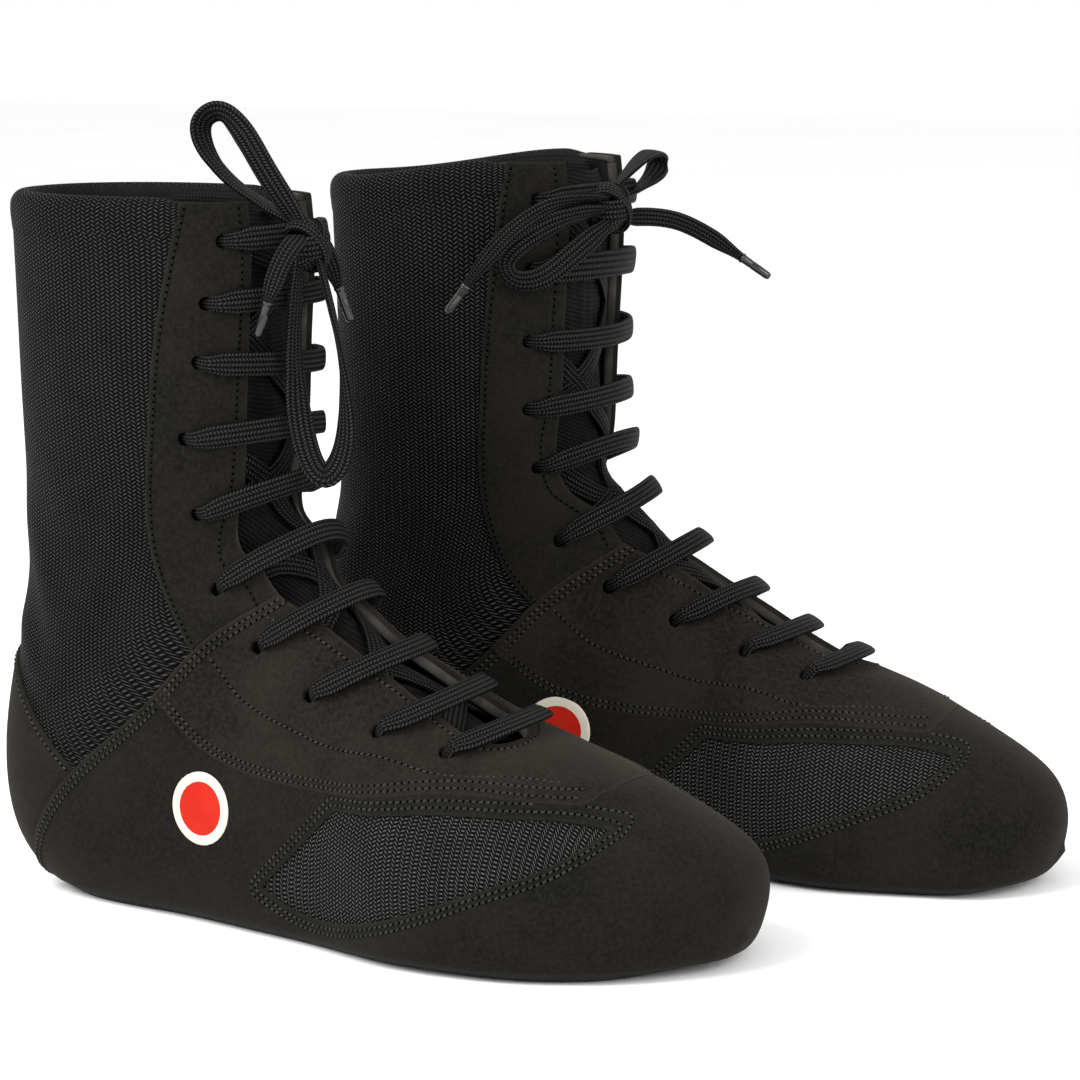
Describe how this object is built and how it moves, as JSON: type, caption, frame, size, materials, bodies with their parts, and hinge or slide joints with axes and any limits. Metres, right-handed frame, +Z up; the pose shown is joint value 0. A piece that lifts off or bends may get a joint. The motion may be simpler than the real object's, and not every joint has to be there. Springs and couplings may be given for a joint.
{
  "type": "pair of boxing boots",
  "caption": "Pair of high lace-up boxing boots with thin soft soles, suede panels, knitted shafts, padded collars and tied flat laces.",
  "frame": {"origin": "on the floor, at the middle of the pair's footprint", "axes": "+X towards the toes, +Y towards the left boot, +Z up"},
  "size_m": [0.3604, 0.2782, 0.2903],
  "materials": {
    "sole": "matt",
    "board": "matt",
    "sock": "matt",
    "stiffener": "matt",
    "suede": "napped, matt",
    "mesh": "knitted, matt",
    "tongue": "ribbed, matt",
    "lining": "matt",
    "lace": "braided, slight sheen",
    "aglet": "gloss",
    "emblem": "printed, satin"
  },
  "bodies": {
    "right_boot": {"right_outsole": "sole", "right_insole_board": "board", "right_heel_counter": "stiffener", "right_toe_puff": "stiffener", "right_vamp": "suede", "right_instep_panel": "suede", "right_facing_outer": "suede", "right_facing_inner": "suede", "right_vamp_mesh_outer": "mesh", "right_vamp_mesh_inner": "mesh", "right_shaft_mesh": "mesh", "right_heel_cover": "suede", "right_vamp_lining": "lining", "right_quarter_lining": "lining", "right_collar_pad": "mesh", "right_lace": "lace", "right_knot": "lace", "right_loop_up": "lace", "right_loop_down": "lace", "right_tail_outer": "lace", "right_tail_inner": "lace", "right_aglet_outer": "aglet", "right_aglet_inner": "aglet", "right_emblem_outer": "emblem", "right_emblem_inner": "emblem", "right_emblem_heel": "emblem"},
    "right_tongue": {"right_tongue": "tongue"},
    "right_sock_liner": {"right_sock_liner": "sock"},
    "left_boot": {"left_outsole": "sole", "left_insole_board": "board", "left_heel_counter": "stiffener", "left_toe_puff": "stiffener", "left_vamp": "suede", "left_instep_panel": "suede", "left_facing_outer": "suede", "left_facing_inner": "suede", "left_vamp_mesh_outer": "mesh", "left_vamp_mesh_inner": "mesh", "left_shaft_mesh": "mesh", "left_heel_cover": "suede", "left_vamp_lining": "lining", "left_quarter_lining": "lining", "left_collar_pad": "mesh", "left_lace": "lace", "left_knot": "lace", "left_loop_up": "lace", "left_loop_down": "lace", "left_tail_outer": "lace", "left_tail_inner": "lace", "left_aglet_outer": "aglet", "left_aglet_inner": "aglet", "left_emblem_outer": "emblem", "left_emblem_inner": "emblem", "left_emblem_heel": "emblem"},
    "left_tongue": {"left_tongue": "tongue"},
    "left_sock_liner": {"left_sock_liner": "sock"}
  },
  "joints": [
    {"name": "left_boot_lift", "type": "slide", "parent": "right_boot", "child": "left_boot", "axis": [0, 0, 1], "range_m": [0, 0.15]},
    {"name": "right_tongue_swing", "type": "hinge", "parent": "right_boot", "child": "right_tongue", "pos_m": [0.02589, -0.08518, 0.064], "axis": [-0.1132, -0.9936, 0], "range_deg": [0, 8]},
    {"name": "right_sock_liner_lift", "type": "hinge", "parent": "right_boot", "child": "right_sock_liner", "pos_m": [0.10474, -0.08209, 0.006], "axis": [0.1132, 0.9936, 0], "range_deg": [0, 5]},
    {"name": "left_tongue_swing", "type": "hinge", "parent": "left_boot", "child": "left_tongue", "pos_m": [0.08589, 0.08518, 0.064], "axis": [0.1132, -0.9936, 0], "range_deg": [0, 8]},
    {"name": "left_sock_liner_lift", "type": "hinge", "parent": "left_boot", "child": "left_sock_liner", "pos_m": [0.16474, 0.08209, 0.006], "axis": [-0.1132, 0.9936, 0], "range_deg": [0, 5]}
  ]
}
